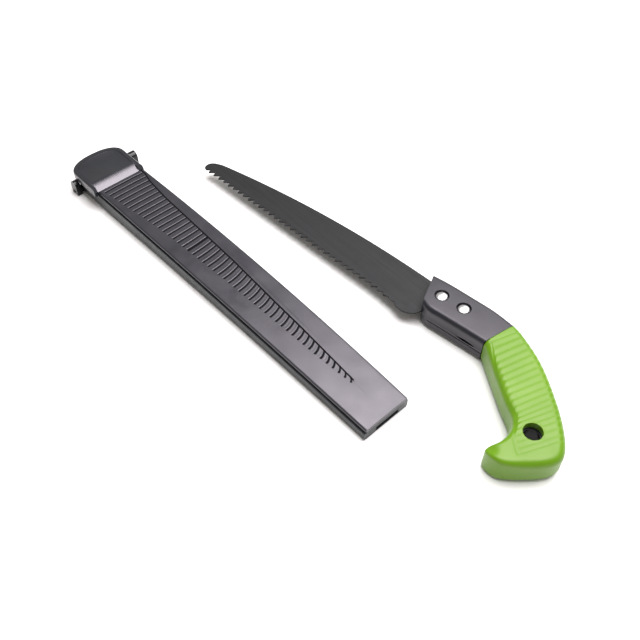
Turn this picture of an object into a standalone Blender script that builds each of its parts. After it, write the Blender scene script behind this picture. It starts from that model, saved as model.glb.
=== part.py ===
"""Fixed-blade pruning saw with a pistol grip, lying beside its ribbed belt sheath.

The sheath is the base of the model. It lies along X, mouth towards -X, and its
back rests on the plane Z = 0. The saw lies at its +Y side, tip towards -X,
turned a little away from the sheath. Everything is in metres.
"""

import math

import bmesh
import bpy
from mathutils import Matrix, Vector

COLLECTION = "pruning_saw"
GAP = 0.0003  # clearance that touching pieces keep
OVERRUN = 0.002  # how far a cutter runs past the material it cuts
ROUND_STEPS = 32

# Layout: the sheath's frame starts at its mouth, the saw's where the blade enters the handle.
SHEATH_AT = (-0.2603, -0.0488, 0.0)
SAW_AT = (0.0752, 0.0773, 0.0)
SAW_TURN = math.radians(9.27)

# Sheath, with stations measured from its mouth.
SHEATH_LENGTH = 0.4050
SHOULDER = 0.050  # where the raised mouth piece ends and the ribbed shell begins
MOUTH_HALF_WIDTH = 0.0255
TOE_HALF_WIDTH = 0.0226
SIDE_BULGE = 0.0014
SHEATH_BOW = 0.0024  # how far the middle of the sheath bows towards the saw
MOUTH_TOP = 0.0195
TOE_TOP = 0.0125
LID_DEPTH = 0.0042  # height of the front shell's rim
LID_EDGE = 0.0020
LID_CROWN = 0.0003  # how far its middle strip stands above its edges
LID_CROWN_HALF = 0.0080
SEAM_HEIGHT = 0.0018
SEAM_DEPTH = 0.0012
TRAY_PROUD = 0.0010
SHELL_WALL = 0.0028
LID_WALL = 0.0024
FLOOR_WALL = 0.0025
THROAT_FLOOR = 0.0095
THROAT_FLOOR_END = 0.072
TOE_WALL = 0.0035
DRAIN_SIDES = (-0.0110, 0.0132)
DRAIN_LOW = 0.0012
DRAIN_TOP = 0.0056
TRAY_START = 0.0035
STATIONS = 12

# Rib zone on the front shell.
RIB_START = 0.0545
RIB_PITCH = 0.00655
RIB_COUNT = 47
RIB_GROOVE = 0.0022
RIB_DEPTH = 0.0010
DEEP_RIB = 17
DEEP_RIB_FACTOR = 1.6
RIB_HALF_START = 0.0175  # half the rib zone's width at the shoulder, without its flare
RIB_NARROWING = 0.0176
RIB_FLARE = 0.0050
RIB_FLARE_RUN = 0.018

# Mouth piece.
COLLAR_TOP = 0.0238
COLLAR_HALF_WIDTH = 0.0277
COLLAR_MIDDLE = -0.0021
NOSE_START = 0.0170  # where the straight sides end and the curved nose begins
NOSE_LENGTH = 0.0168
NOSE_POWER = 2.3  # 2 is an ellipse, more is squarer
NOSE_POINTS = 19
COLLAR_RIM = 0.0018
RAMP_RUN = 0.0080
THROAT_HALF_WIDTH = 0.0227
THROAT_TOP = 0.0208
THROAT_STEP = 0.0388  # past this station the throat is only as high as the shell's hollow
THROAT_LOW_TOP = 0.0168
PANEL_DEPTH = 0.0010
PANEL_INSET = 0.0055

# Belt hanger hinged under the mouth.
HINGE_STATION = 0.0150
HINGE_HEIGHT = 0.0036
BARREL_RADIUS = 0.0035
BARREL_ROOM = 0.0042
KNUCKLE_HALF = 0.0080
KNUCKLE_HALF_LENGTH = 0.0038
PIN_RADIUS = 0.0015
PIN_HALF_LENGTH = 0.0325
LUG_INNER = 0.0290
LEFT_LUG_OUTER = 0.0340
RIGHT_LUG_OUTER = 0.0372
LUG_HALF_LENGTH = 0.0048
LUG_HEIGHT = 0.0148
LUG_CROWN = 0.0045
HANGER_FOOT = 0.0002
LEAF_THICKNESS = 0.0030
LEAF_HALF_WIDTH = 0.0180
LEAF_END = 0.0640
LEAF_NOTCH = 0.0220
WINDOW_START = 0.0280
WINDOW_END = 0.0570
WINDOW_HALF_WIDTH = 0.0125

# Retaining spring above the blade's path.
SPRING_HALF_WIDTH = 0.0060
SPRING_THICKNESS = 0.0007
SPRING_PATH = ((0.0100, 0.0201), (0.0180, 0.0201), (0.0300, 0.0113), (0.0330, 0.0109), (0.0370, 0.0135))
RIVET_STATION = 0.0140
RIVET_RADIUS = 0.0012

# Blade, in the saw's frame: x runs from the tip (negative) to the handle, y towards the back.
BLADE_MID = 0.0125
BLADE_THICKNESS = 0.0014
BLADE_LENGTH = 0.2560
BACK_END = (-0.2460, 0.0036)  # where the back's long arc turns down into the tip
BACK_RISE = 0.0072
TIP_WIDTH = 0.0120
TOOTH_START = (-0.2525, -0.0128)
TOOTH_END = (-0.0110, -0.0410)
TOOTH_COUNT = 34
TOOTH_DEPTH = 0.0034
FADING_TEETH = 4
TANG_TOP = -0.0090
TANG_BOTTOM = -0.0305
TANG_END = 0.0660
BOLTS = {"front": (0.0212, -0.0190), "rear": (0.0430, -0.0199)}

# Handle.
HEAD_FRONT = ((0.0030, -0.0030), (0.0126, -0.0352))
HANDLE_TOP = 0.0250
WINDOW_FRONT, WINDOW_REAR, WINDOW_RISE = 0.0490, 0.0670, 0.0012  # leaf-shaped slot in the head's near side
GRIP_START = ((0.0650, -0.0330), (0.0700, -0.0060))  # corners of its outline inside the head
HEAD_REAR = ((0.0742, -0.0390), (0.0845, -0.0085))
HEAD_RIM = 0.0045
GRIP_TOP = 0.0255
GRIP_RIM = 0.0062
HOOK_TIP = (0.1238, -0.1218)
HOOK_RIM_SHARE = 0.32  # rounding at the hook's tip, as a share of the grip's
HOOK_RIM_RUN = 0.045
RIM_STEPS = 5
LOOP_STEPS = 4
BROAD = 0.120  # longer than the handle
CORE_TONGUE_HALF = 0.0060
HANG_HOLE = (0.1444, -0.0906)
HANG_RADIUS = 0.0074
CORE_HOLE_RADIUS = 0.0064
BOLT_HEAD_RADIUS = 0.0053
BOLT_RECESS_RADIUS = 0.0059
BOLT_RECESS_DEPTH = 0.0030
BOLT_SHANK = 0.0022
NUT_BARREL = 0.0034
WASHER_THICKNESS = 0.0006
NUT_LOW = 0.0005
NUT_WALL = 0.0025
NUT_SHORT = 0.0030  # how far its barrel stops below the bolt's seat
NUT_CHAMFER = (0.0018, 0.0008)  # how far it draws in, over how much height
BOLT_DOME = ((0.0, 0.0021), (0.0022, 0.0019), (0.0041, 0.0012), (BOLT_HEAD_RADIUS, 0.0003))
GRIP_RIB_COUNT = 18
RIB_FRONTS = ((0.0820, -0.0405), (0.1435, -0.1090))  # first and last groove's front end
RIB_FRONT_RISE = 0.0020
RIB_BACKS = ((0.0915, -0.0190), (0.1590, -0.0815))
RIB_BACK_RISE = 0.0080
GRIP_RIB_DEPTH = 0.0008
GRIP_RIB_GROOVE = 0.0018

BLACK_PLASTIC = ((0.045, 0.047, 0.055), 0.42, 0.0)
COLLAR_PLASTIC = ((0.040, 0.043, 0.050), 0.38, 0.0)
GLOSS_PLASTIC = ((0.012, 0.013, 0.015), 0.18, 0.0)
BLADE_STEEL = ((0.075, 0.080, 0.085), 0.45, 0.8)
BRIGHT_STEEL = ((0.62, 0.62, 0.63), 0.25, 1.0)
CORE_PLASTIC = ((0.050, 0.048, 0.055), 0.40, 0.0)
GREEN_RUBBER = ((0.260, 0.520, 0.030), 0.55, 0.0)


# Scene helpers

def clear_scene():
    for found in list(bpy.data.objects):
        bpy.data.objects.remove(found, do_unlink=True)


def collection(name):
    made = bpy.data.collections.new(name)
    bpy.context.scene.collection.children.link(made)
    return made


def paint(obj, finish):
    colour, roughness, metallic = finish
    material = bpy.data.materials.new(obj.name)
    material.use_nodes = True
    shader = material.node_tree.nodes["Principled BSDF"]
    shader.inputs["Base Color"].default_value = (*colour, 1.0)
    shader.inputs["Roughness"].default_value = roughness
    shader.inputs["Metallic"].default_value = metallic
    obj.data.materials.append(material)


def frame(name, location, turn=0.0):
    empty = bpy.data.objects.new(name, None)
    empty.location = location
    empty.rotation_euler = (0.0, 0.0, turn)
    PARTS.objects.link(empty)
    return empty


def keep_mesh(name, bm, parent, finish=None, location=(0.0, 0.0, 0.0)):
    """Turn a bmesh into an object: a part when it has a finish, else a hidden cutter."""
    bmesh.ops.recalc_face_normals(bm, faces=bm.faces)
    mesh = bpy.data.meshes.new(name)
    bm.to_mesh(mesh)
    bm.free()
    obj = bpy.data.objects.new(name, mesh)
    obj.parent = parent
    obj.location = location
    if finish:
        PARTS.objects.link(obj)
        paint(obj, finish)
        mesh.shade_smooth()
        mesh.set_sharp_from_angle(angle=math.radians(35.0))
    else:
        CUTTERS.objects.link(obj)
        obj.hide_render = True
        obj.display_type = "WIRE"
    return obj


def combine(target, other, operation):
    modifier = target.modifiers.new(f"{operation.lower()}_{other.name}", "BOOLEAN")
    modifier.operation = operation
    modifier.object = other
    modifier.solver = "EXACT"


def cut(target, *cutters):
    for cutter in cutters:
        combine(target, cutter, "DIFFERENCE")


def join(target, *pieces):
    for piece in pieces:
        combine(target, piece, "UNION")


# Solids

def loft(name, rings, parent, finish=None):
    """Solid through a row of closed rings that have the same number of points."""
    bm = bmesh.new()
    rows = [[bm.verts.new(point) for point in ring] for ring in rings]
    count = len(rows[0])
    for first, second in zip(rows, rows[1:]):
        for i in range(count):
            j = (i + 1) % count
            bm.faces.new((first[i], first[j], second[j], second[i]))
    bm.faces.new(rows[0])
    bm.faces.new(rows[-1])
    return keep_mesh(name, bm, parent, finish)


def flat_outline(name, outline, thickness):
    """Mesh of a filled outline, centred on its own plane."""
    curve = bpy.data.curves.new(name, "CURVE")
    curve.dimensions = "2D"
    curve.fill_mode = "BOTH"
    curve.extrude = thickness / 2.0
    spline = curve.splines.new("POLY")
    spline.points.add(len(outline) - 1)
    for point, (x, y) in zip(spline.points, outline):
        point.co = (x, y, 0.0, 1.0)
    spline.use_cyclic_u = True
    guide = bpy.data.objects.new(name, curve)
    bpy.context.scene.collection.objects.link(guide)
    evaluated = guide.evaluated_get(bpy.context.evaluated_depsgraph_get())
    mesh = bpy.data.meshes.new_from_object(evaluated)
    bm = bmesh.new()
    bm.from_mesh(mesh)
    bmesh.ops.remove_doubles(bm, verts=bm.verts, dist=1e-6)
    bpy.data.objects.remove(guide, do_unlink=True)
    bpy.data.meshes.remove(mesh)
    return bm


def slab(name, outline, low, high, parent, finish=None):
    """Flat piece between two heights."""
    bm = flat_outline(name, outline, high - low)
    bmesh.ops.translate(bm, verts=bm.verts, vec=(0.0, 0.0, (low + high) / 2.0))
    return keep_mesh(name, bm, parent, finish)


def grown(outline, margins):
    """The same outline moved outwards, by its own margin at each point."""
    count = len(outline)
    larger = []
    for i in range(count):
        along = (Vector(outline[(i + 1) % count]) - Vector(outline[i - 1])).normalized()
        larger.append(tuple(Vector(outline[i]) + Vector((-along.y, along.x)) * margins[i]))
    return larger


def rounded_slab(name, outline, low, high, rims, parent, finish):
    """Flat piece whose rims are rounded, by its own radius at each point."""
    rings = []
    for i in range(2 * RIM_STEPS + 2):
        upper = i > RIM_STEPS
        step = 2 * RIM_STEPS + 1 - i if upper else i
        angle = math.pi / 2.0 * step / RIM_STEPS
        inset = grown(outline, [-rim * (1.0 - math.sin(angle)) for rim in rims])
        rise = [rim * (1.0 - math.cos(angle)) for rim in rims]
        rings.append([(x, y, high - r if upper else low + r) for (x, y), r in zip(inset, rise)])
    return loft(name, rings, parent, finish)


def side_plate(name, outline, low, high, parent, finish=None):
    """Outline drawn in x and z, extruded along y."""
    bm = flat_outline(name, outline, high - low)
    upright = Matrix.Rotation(math.radians(90.0), 4, "X")
    bmesh.ops.transform(bm, matrix=upright, verts=bm.verts)
    bmesh.ops.translate(bm, verts=bm.verts, vec=(0.0, (low + high) / 2.0, 0.0))
    return keep_mesh(name, bm, parent, finish)


def box(name, low, high, parent, finish=None):
    bm = bmesh.new()
    size = Vector(high) - Vector(low)
    middle = (Vector(high) + Vector(low)) / 2.0
    bmesh.ops.create_cube(bm, size=1.0, matrix=Matrix.Translation(middle) @ Matrix.Diagonal((*size, 1.0)))
    return keep_mesh(name, bm, parent, finish)


def rod(name, radius, start, end, parent, finish=None):
    """Cylinder between two points."""
    start, end = Vector(start), Vector(end)
    turn = (end - start).to_track_quat("Z", "Y").to_matrix().to_4x4()
    bm = bmesh.new()
    bmesh.ops.create_cone(
        bm, cap_ends=True, segments=ROUND_STEPS, radius1=radius, radius2=radius,
        depth=(end - start).length, matrix=Matrix.Translation((start + end) / 2.0) @ turn,
    )
    return keep_mesh(name, bm, parent, finish)


def turned(name, profile, at, parent, finish):
    """Piece turned about a vertical axis from a profile of radius and height, top to bottom."""
    mesh = bpy.data.meshes.new(name)
    points = [(radius, 0.0, height) for radius, height in profile]
    mesh.from_pydata(points, [(i, i + 1) for i in range(len(points) - 1)], [])
    obj = bpy.data.objects.new(name, mesh)
    PARTS.objects.link(obj)
    obj.parent = parent
    obj.location = (at[0], at[1], 0.0)
    screw = obj.modifiers.new("turn", "SCREW")
    screw.steps = ROUND_STEPS
    screw.render_steps = ROUND_STEPS
    screw.use_merge_vertices = True
    screw.merge_threshold = 0.00001
    screw.use_smooth_shade = True
    paint(obj, finish)
    return obj


# Curves

def arc(start, end, rise, count):
    """Points of a circular arc over a chord; a positive rise bulges to the left of its direction."""
    start, end = Vector(start), Vector(end)
    chord = end - start
    radius = (chord.length ** 2 / 4.0 + rise ** 2) / (2.0 * rise)
    left = Vector((-chord.y, chord.x)).normalized()
    centre = (start + end) / 2.0 + left * (rise - radius)
    half = math.asin(chord.length / 2.0 / abs(radius))
    first = (start - centre).angle_signed(Vector((1.0, 0.0)))
    sweep = -2.0 * half if rise > 0.0 else 2.0 * half
    angles = [first + sweep * i / (count - 1) for i in range(count)]
    return [tuple(centre + Vector((math.cos(a), math.sin(a))) * abs(radius)) for a in angles]


def smooth_loop(points, steps):
    """Closed Catmull-Rom curve through hand-placed points."""
    loop = []
    count = len(points)
    for i in range(count):
        before, start, end, after = (Vector(points[(i + k - 1) % count]) for k in range(4))
        for step in range(steps):
            t = step / steps
            bend = 2.0 * before - 5.0 * start + 4.0 * end - after
            twist = 3.0 * (start - end) + after - before
            point = start + (end - before) * (t / 2.0) + bend * (t * t / 2.0) + twist * (t ** 3 / 2.0)
            loop.append(tuple(point))
    return loop


def thick_path(points, thickness):
    """Outline of a strip that follows a path."""
    points = [Vector(point) for point in points]
    above, below = [], []
    for i, point in enumerate(points):
        along = points[min(i + 1, len(points) - 1)] - points[max(i - 1, 0)]
        side = Vector((-along.y, along.x)).normalized() * (thickness / 2.0)
        above.append(tuple(point + side))
        below.append(tuple(point - side))
    return above + below[::-1]


# Sheath

def along_shell(station):
    """Share of the way from the shoulder to the toe."""
    return max(0.0, (station - SHOULDER) / (SHEATH_LENGTH - SHOULDER))


def half_width(station):
    t = along_shell(station)
    return MOUTH_HALF_WIDTH + (TOE_HALF_WIDTH - MOUTH_HALF_WIDTH) * t + SIDE_BULGE * 4.0 * t * (1.0 - t)


def middle(station):
    t = along_shell(station)
    return SHEATH_BOW * 4.0 * t * (1.0 - t)


def top(station):
    return MOUTH_TOP + (TOE_TOP - MOUTH_TOP) * along_shell(station)


def seam(station):
    return top(station) - LID_DEPTH


def spread(start, end, count):
    return [start + (end - start) * i / (count - 1) for i in range(count)]


def shell_stations(start):
    return spread(start, SHEATH_LENGTH, STATIONS)


def mouth_inset(station):
    """How far the tray's sides draw in to follow the mouth piece's nose."""
    reach = (NOSE_START - station) / NOSE_LENGTH
    return 0.0 if reach <= 0.0 else COLLAR_HALF_WIDTH * (1.0 - nose_share(reach))


def mirrored_ring(station, half_section):
    """Closed ring from a half section of (half width, height) points, bottom to top."""
    y = middle(station)
    right = [(station, y + width, height) for width, height in half_section]
    left = [(station, y - width, height) for width, height in reversed(half_section)]
    return right + left


def lid_ring(station):
    width = half_width(station)
    low, high = seam(station) + GAP, top(station)
    return mirrored_ring(station, [
        (width - SEAM_DEPTH, low),
        (width - SEAM_DEPTH, low + SEAM_HEIGHT),
        (width, low + SEAM_HEIGHT + SEAM_DEPTH / 3.0),
        (width, high - LID_EDGE),
        (width - 0.3 * LID_EDGE, high - 0.3 * LID_EDGE),
        (width - LID_EDGE, high),
        (LID_CROWN_HALF, high + LID_CROWN),
    ])


def tray_ring(station):
    width = half_width(station) + TRAY_PROUD - mouth_inset(station)
    return mirrored_ring(station, [
        (width - LID_EDGE, 0.0),
        (width - 0.3 * LID_EDGE, 0.3 * LID_EDGE),
        (width, LID_EDGE),
        (width, seam(station) - 0.2 * LID_EDGE),
        (width - 0.2 * LID_EDGE, seam(station)),
    ])


def cavity_ring(station, low, high):
    width = half_width(station) - SHELL_WALL
    return mirrored_ring(station, [(width, low), (width, high)])


def cavity(name, parent, start, low_of, high_of):
    stations = spread(start, SHEATH_LENGTH - TOE_WALL, STATIONS)
    return loft(name, [cavity_ring(s, low_of(s), high_of(s)) for s in stations], parent)


def rib_half_width(station):
    """The rib zone narrows like a blade and flares next to the mouth."""
    flare = RIB_FLARE * math.exp(-(station - SHOULDER) / RIB_FLARE_RUN)
    return RIB_HALF_START - RIB_NARROWING * along_shell(station) + flare


def rib_grooves(parent):
    bm = bmesh.new()
    for i in range(RIB_COUNT):
        station = RIB_START + i * RIB_PITCH
        depth = RIB_DEPTH * (DEEP_RIB_FACTOR if i == DEEP_RIB else 1.0)
        low, high = top(station) - depth, top(station) + OVERRUN
        size = (RIB_GROOVE, 2.0 * rib_half_width(station), high - low, 1.0)
        place = Matrix.Translation((station, middle(station), (low + high) / 2.0))
        bmesh.ops.create_cube(bm, size=1.0, matrix=place @ Matrix.Diagonal(size))
    return keep_mesh("rib_grooves", bm, parent)


def make_front_shell(parent):
    stations = shell_stations(SHOULDER + GAP)
    shell = loft("sheath_front_shell", [lid_ring(s) for s in stations], parent, BLACK_PLASTIC)
    hollow = cavity(
        "front_hollow", parent, SHOULDER - OVERRUN,
        lambda s: seam(s) - OVERRUN, lambda s: top(s) - LID_WALL,
    )
    cut(shell, hollow, rib_grooves(parent))


def make_back_shell(parent):
    nose_run = NOSE_START - TRAY_START
    nose_stations = [NOSE_START - nose_run * share for share in (1.0, 0.9, 0.75, 0.5, 0.25)]
    stations = [*nose_stations, *shell_stations(NOSE_START)]
    shell = loft("sheath_back_shell", [tray_ring(s) for s in stations], parent, BLACK_PLASTIC)
    hollow = cavity(
        "back_hollow", parent, THROAT_FLOOR_END,
        lambda s: FLOOR_WALL, lambda s: seam(s) + OVERRUN,
    )
    throat_high = seam(0.0) + OVERRUN
    throat = box(
        "tray_throat", (0.0, -THROAT_HALF_WIDTH, THROAT_FLOOR),
        (THROAT_FLOOR_END + OVERRUN, THROAT_HALF_WIDTH, throat_high), parent,
    )
    drain = box(
        "drain_slot", (SHEATH_LENGTH - TOE_WALL - GAP, DRAIN_SIDES[0], DRAIN_LOW),
        (SHEATH_LENGTH + OVERRUN, DRAIN_SIDES[1], DRAIN_TOP), parent,
    )
    leaf_room = box(
        "leaf_room", (HINGE_STATION, -LEAF_HALF_WIDTH - 0.001, -OVERRUN),
        (LEAF_END + 0.001, LEAF_HALF_WIDTH + 0.001, LEAF_THICKNESS + GAP), parent,
    )
    reach = COLLAR_HALF_WIDTH + OVERRUN
    barrel_room = box(
        "barrel_room", (HINGE_STATION - BARREL_ROOM, -reach, -OVERRUN),
        (HINGE_STATION + BARREL_ROOM, reach, HINGE_HEIGHT + BARREL_ROOM), parent,
    )
    cut(shell, hollow, throat, drain, leaf_room, barrel_room)
    knuckle = box(
        "centre_knuckle", (HINGE_STATION - KNUCKLE_HALF_LENGTH, -KNUCKLE_HALF, 0.0004),
        (HINGE_STATION + KNUCKLE_HALF_LENGTH, KNUCKLE_HALF, THROAT_FLOOR - 0.0004), parent,
    )
    join(shell, knuckle)
    cut(shell, hinge_bore("knuckle_bore", parent))


def hinge_bore(name, parent):
    reach = RIGHT_LUG_OUTER + OVERRUN
    return rod(
        name, PIN_RADIUS + GAP, (HINGE_STATION, -reach, HINGE_HEIGHT),
        (HINGE_STATION, reach, HINGE_HEIGHT), parent,
    )


def nose_share(share):
    """The rounded nose's reach at a share of its half width, or its half width at a share of its reach."""
    return max(0.0, 1.0 - share ** NOSE_POWER) ** (1.0 / NOSE_POWER)


def collar_outline(inset, tail):
    """Straight sides and a curved nose at the mouth."""
    width = COLLAR_HALF_WIDTH - inset
    nose = []
    for i in range(NOSE_POINTS):
        across = -math.cos(math.pi * i / (NOSE_POINTS - 1))
        reach = (NOSE_LENGTH - inset) * nose_share(abs(across))
        nose.append((NOSE_START - reach, COLLAR_MIDDLE + width * across))
    return [*nose, (tail, COLLAR_MIDDLE + width), (tail, COLLAR_MIDDLE - width)]


def make_collar(parent):
    low = seam(0.0) + GAP
    collar = loft(
        "mouth_collar",
        [
            [(x, y, height) for x, y in collar_outline(inset, SHOULDER)]
            for inset, height in (
                (0.0, low), (0.0, COLLAR_TOP - COLLAR_RIM),
                (0.3 * COLLAR_RIM, COLLAR_TOP - 0.3 * COLLAR_RIM), (COLLAR_RIM, COLLAR_TOP),
            )
        ],
        parent, COLLAR_PLASTIC,
    )
    throat = box(
        "collar_throat", (-OVERRUN, -THROAT_HALF_WIDTH, low - OVERRUN),
        (THROAT_STEP, THROAT_HALF_WIDTH, THROAT_TOP), parent,
    )
    low_throat = box(
        "collar_low_throat", (0.0, -THROAT_HALF_WIDTH, low - OVERRUN),
        (SHOULDER + OVERRUN, THROAT_HALF_WIDTH, THROAT_LOW_TOP), parent,
    )
    ramp = side_plate(
        "ramp_cut",
        [
            (SHOULDER - RAMP_RUN, COLLAR_TOP + GAP), (SHOULDER + GAP, MOUTH_TOP),
            (SHOULDER + OVERRUN, MOUTH_TOP), (SHOULDER + OVERRUN, COLLAR_TOP + OVERRUN),
            (SHOULDER - RAMP_RUN, COLLAR_TOP + OVERRUN),
        ],
        -COLLAR_HALF_WIDTH - OVERRUN, COLLAR_HALF_WIDTH + OVERRUN, parent,
    )
    panel = slab(
        "panel_cut", collar_outline(PANEL_INSET, SHOULDER - RAMP_RUN - 0.004),
        COLLAR_TOP - PANEL_DEPTH, COLLAR_TOP + OVERRUN, parent,
    )
    rivet_hole = rod(
        "rivet_hole", RIVET_RADIUS + GAP, (RIVET_STATION, 0.0, THROAT_TOP - OVERRUN),
        (RIVET_STATION, 0.0, THROAT_TOP + 0.0009), parent,
    )
    cut(collar, throat, low_throat, ramp, panel, rivet_hole)


def make_spring(parent):
    spring = side_plate(
        "retaining_spring", thick_path(SPRING_PATH, SPRING_THICKNESS),
        -SPRING_HALF_WIDTH, SPRING_HALF_WIDTH, parent, BRIGHT_STEEL,
    )
    hole = rod(
        "spring_hole", RIVET_RADIUS + GAP, (RIVET_STATION, 0.0, THROAT_TOP - 0.004),
        (RIVET_STATION, 0.0, THROAT_TOP), parent,
    )
    cut(spring, hole)
    head_top = SPRING_PATH[0][1] - SPRING_THICKNESS / 2.0 - GAP
    turned(
        "spring_rivet",
        [
            (0.0, THROAT_TOP + 0.0006), (RIVET_RADIUS, THROAT_TOP + 0.0006), (RIVET_RADIUS, head_top),
            (0.0026, head_top), (0.0026, head_top - 0.0005), (0.0018, head_top - 0.0012),
            (0.0, head_top - 0.0014),
        ],
        (RIVET_STATION, 0.0), parent, BRIGHT_STEEL,
    )


def lug_outline():
    """Side view of a hanger lug: square at the foot, round at the top."""
    low, shoulder = HANGER_FOOT, LUG_HEIGHT - LUG_CROWN
    left, right = HINGE_STATION - LUG_HALF_LENGTH, HINGE_STATION + LUG_HALF_LENGTH
    crown = arc((left, shoulder), (right, shoulder), LUG_CROWN, 11)
    return [(left, low), *crown, (right, low)]


def make_hanger(parent):
    hinge = frame("belt_hanger_hinge", (HINGE_STATION, 0.0, HINGE_HEIGHT))
    hinge.parent = parent
    hanger = rod(
        "belt_hanger", BARREL_RADIUS, (0.0, -LUG_INNER - 0.001, 0.0), (0.0, LUG_INNER + 0.001, 0.0),
        hinge, GLOSS_PLASTIC,
    )
    gap_box = box(
        "knuckle_gap",
        (HINGE_STATION - BARREL_ROOM, -KNUCKLE_HALF - GAP, -OVERRUN),
        (LEAF_NOTCH, KNUCKLE_HALF + GAP, HINGE_HEIGHT + BARREL_ROOM), parent,
    )
    leaf = box(
        "hanger_leaf", (HINGE_STATION, -LEAF_HALF_WIDTH, HANGER_FOOT),
        (LEAF_END, LEAF_HALF_WIDTH, LEAF_THICKNESS), parent,
    )
    window = box(
        "belt_window", (WINDOW_START, -WINDOW_HALF_WIDTH, -OVERRUN),
        (WINDOW_END, WINDOW_HALF_WIDTH, LEAF_THICKNESS + OVERRUN), parent,
    )
    join(
        hanger, leaf,
        side_plate("left_lug", lug_outline(), -LEFT_LUG_OUTER, -LUG_INNER, parent),
        side_plate("right_lug", lug_outline(), LUG_INNER, RIGHT_LUG_OUTER, parent),
    )
    cut(hanger, window, gap_box, hinge_bore("hanger_bore", parent))
    rod(
        "hanger_pin", PIN_RADIUS, (HINGE_STATION, -PIN_HALF_LENGTH, HINGE_HEIGHT),
        (HINGE_STATION, PIN_HALF_LENGTH, HINGE_HEIGHT), parent, BRIGHT_STEEL,
    )


def make_sheath():
    sheath = frame("sheath_frame", SHEATH_AT)
    make_front_shell(sheath)
    make_back_shell(sheath)
    make_collar(sheath)
    make_spring(sheath)
    make_hanger(sheath)


# Saw

def tooth_points():
    """Teeth along a straight line from the tip to the heel, leaning towards the tip."""
    start, end = Vector(TOOTH_START), Vector(TOOTH_END)
    pitch = (end - start) / TOOTH_COUNT
    inward = Vector((-pitch.y, pitch.x)).normalized()
    points = []
    for i in range(TOOTH_COUNT):
        left = TOOTH_COUNT - i
        depth = TOOTH_DEPTH * min(1.0, left / FADING_TEETH)
        for share, rise in ((0.06, 1.0), (0.26, 0.0), (0.36, 0.0), (0.86, 1.0)):
            points.append(tuple(start + pitch * (i + share) + inward * depth * rise))
    return points


def head_front(y):
    """Where the blade stops, a gap short of the head's slanted front."""
    (x0, y0), (x1, y1) = HEAD_FRONT
    return x0 + (x1 - x0) * (y - y0) / (y1 - y0) - GAP


def blade_outline():
    tip = [
        (-BLADE_LENGTH - 0.0005, -0.0005), (-BLADE_LENGTH - 0.0030, -0.0035),
        (-BLADE_LENGTH - 0.0035, -0.0070), (-BLADE_LENGTH - 0.0022, -0.0105),
        (-BLADE_LENGTH + 0.0010, -TIP_WIDTH),
    ]
    heel = arc(TOOTH_END, (head_front(-0.0352), -0.0352), -0.0062, 9)
    tang = [
        (head_front(TANG_BOTTOM), TANG_BOTTOM), (TANG_END, TANG_BOTTOM),
        (TANG_END, TANG_TOP), (head_front(TANG_TOP), TANG_TOP),
    ]
    back = arc((head_front(-0.0012), -0.0012), BACK_END, -BACK_RISE, 25)
    return [*tip, *tooth_points(), *heel, *tang, *back]


def make_blade(parent):
    low, high = BLADE_MID - BLADE_THICKNESS / 2.0, BLADE_MID + BLADE_THICKNESS / 2.0
    blade = slab("saw_blade", blade_outline(), low, high, parent, BLADE_STEEL)
    for name, (x, y) in BOLTS.items():
        hole = rod(f"blade_hole_{name}", NUT_BARREL + GAP, (x, y, 0.0), (x, y, HANDLE_TOP), parent)
        cut(blade, hole)


def head_outline():
    """Outline of the black head, run on past both of its slanted ends."""
    far = [(-0.0060, -0.0020), (0.0180, -0.0018), (0.0450, -0.0035), (0.0640, -0.0049), (0.0940, -0.0114)]
    near = [(0.0840, -0.0415), (0.0600, -0.0397), (0.0330, -0.0384), (0.0200, -0.0380), (0.0126, -0.0352)]
    return [*far, *near, (0.0030, -0.0300)]


def beyond(line, step):
    """Broad outline on the rear side of a slanted line; a negative step gives the front side."""
    start, end = Vector(line[0]), Vector(line[1])
    along = (end - start).normalized()
    start, end = start - along * abs(step), end + along * abs(step)
    return [tuple(start), tuple(end), (end.x + step, end.y), (start.x + step, start.y)]


def shifted(line, step):
    return [(x + step, y) for x, y in line]


def tongue_outline():
    """The core's tongue inside the grip."""
    start = [(0.0750, -0.0125), (0.0900, -0.0180), (0.1080, -0.0300), (0.1280, -0.0490)]
    end = [(0.1450, -0.0680), (0.1585, -0.0900), (0.1500, -0.1060), (0.1370, -0.1030)]
    back = [(0.1330, -0.0830), (0.1180, -0.0690), (0.1000, -0.0520), (0.0860, -0.0400), (0.0740, -0.0330)]
    return start + end + back


def grip_outline():
    """Green grip: arched back, round butt, hook for the little finger and hollowed front."""
    back = [(0.0855, -0.0090), (0.0962, -0.0138), (0.1200, -0.0293), (0.1460, -0.0543), (0.1627, -0.0748)]
    butt = [(0.1710, -0.0904), (0.1705, -0.1008), (0.1630, -0.1106), (0.1494, -0.1214)]
    hook = [(0.1390, -0.1268), (0.1302, -0.1263), (0.1242, -0.1228), (0.1246, -0.1184), (0.1294, -0.1106)]
    front = [(0.1304, -0.0985), (0.1254, -0.0872), (0.1108, -0.0745), (0.0912, -0.0562), (0.0752, -0.0412)]
    return back + butt + hook + front


def butt_joint(points):
    """The grip's smooth outline, run straight on into the head."""
    loop = smooth_loop(points, LOOP_STEPS)
    return [loop[0], *loop[LOOP_STEPS:1 - 2 * LOOP_STEPS], loop[-LOOP_STEPS], *GRIP_START]


def hook_share(point):
    """The rounding grows from its smallest at the hook's tip."""
    return min(1.0, HOOK_RIM_SHARE + (Vector(point) - Vector(HOOK_TIP)).length / HOOK_RIM_RUN)


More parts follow.
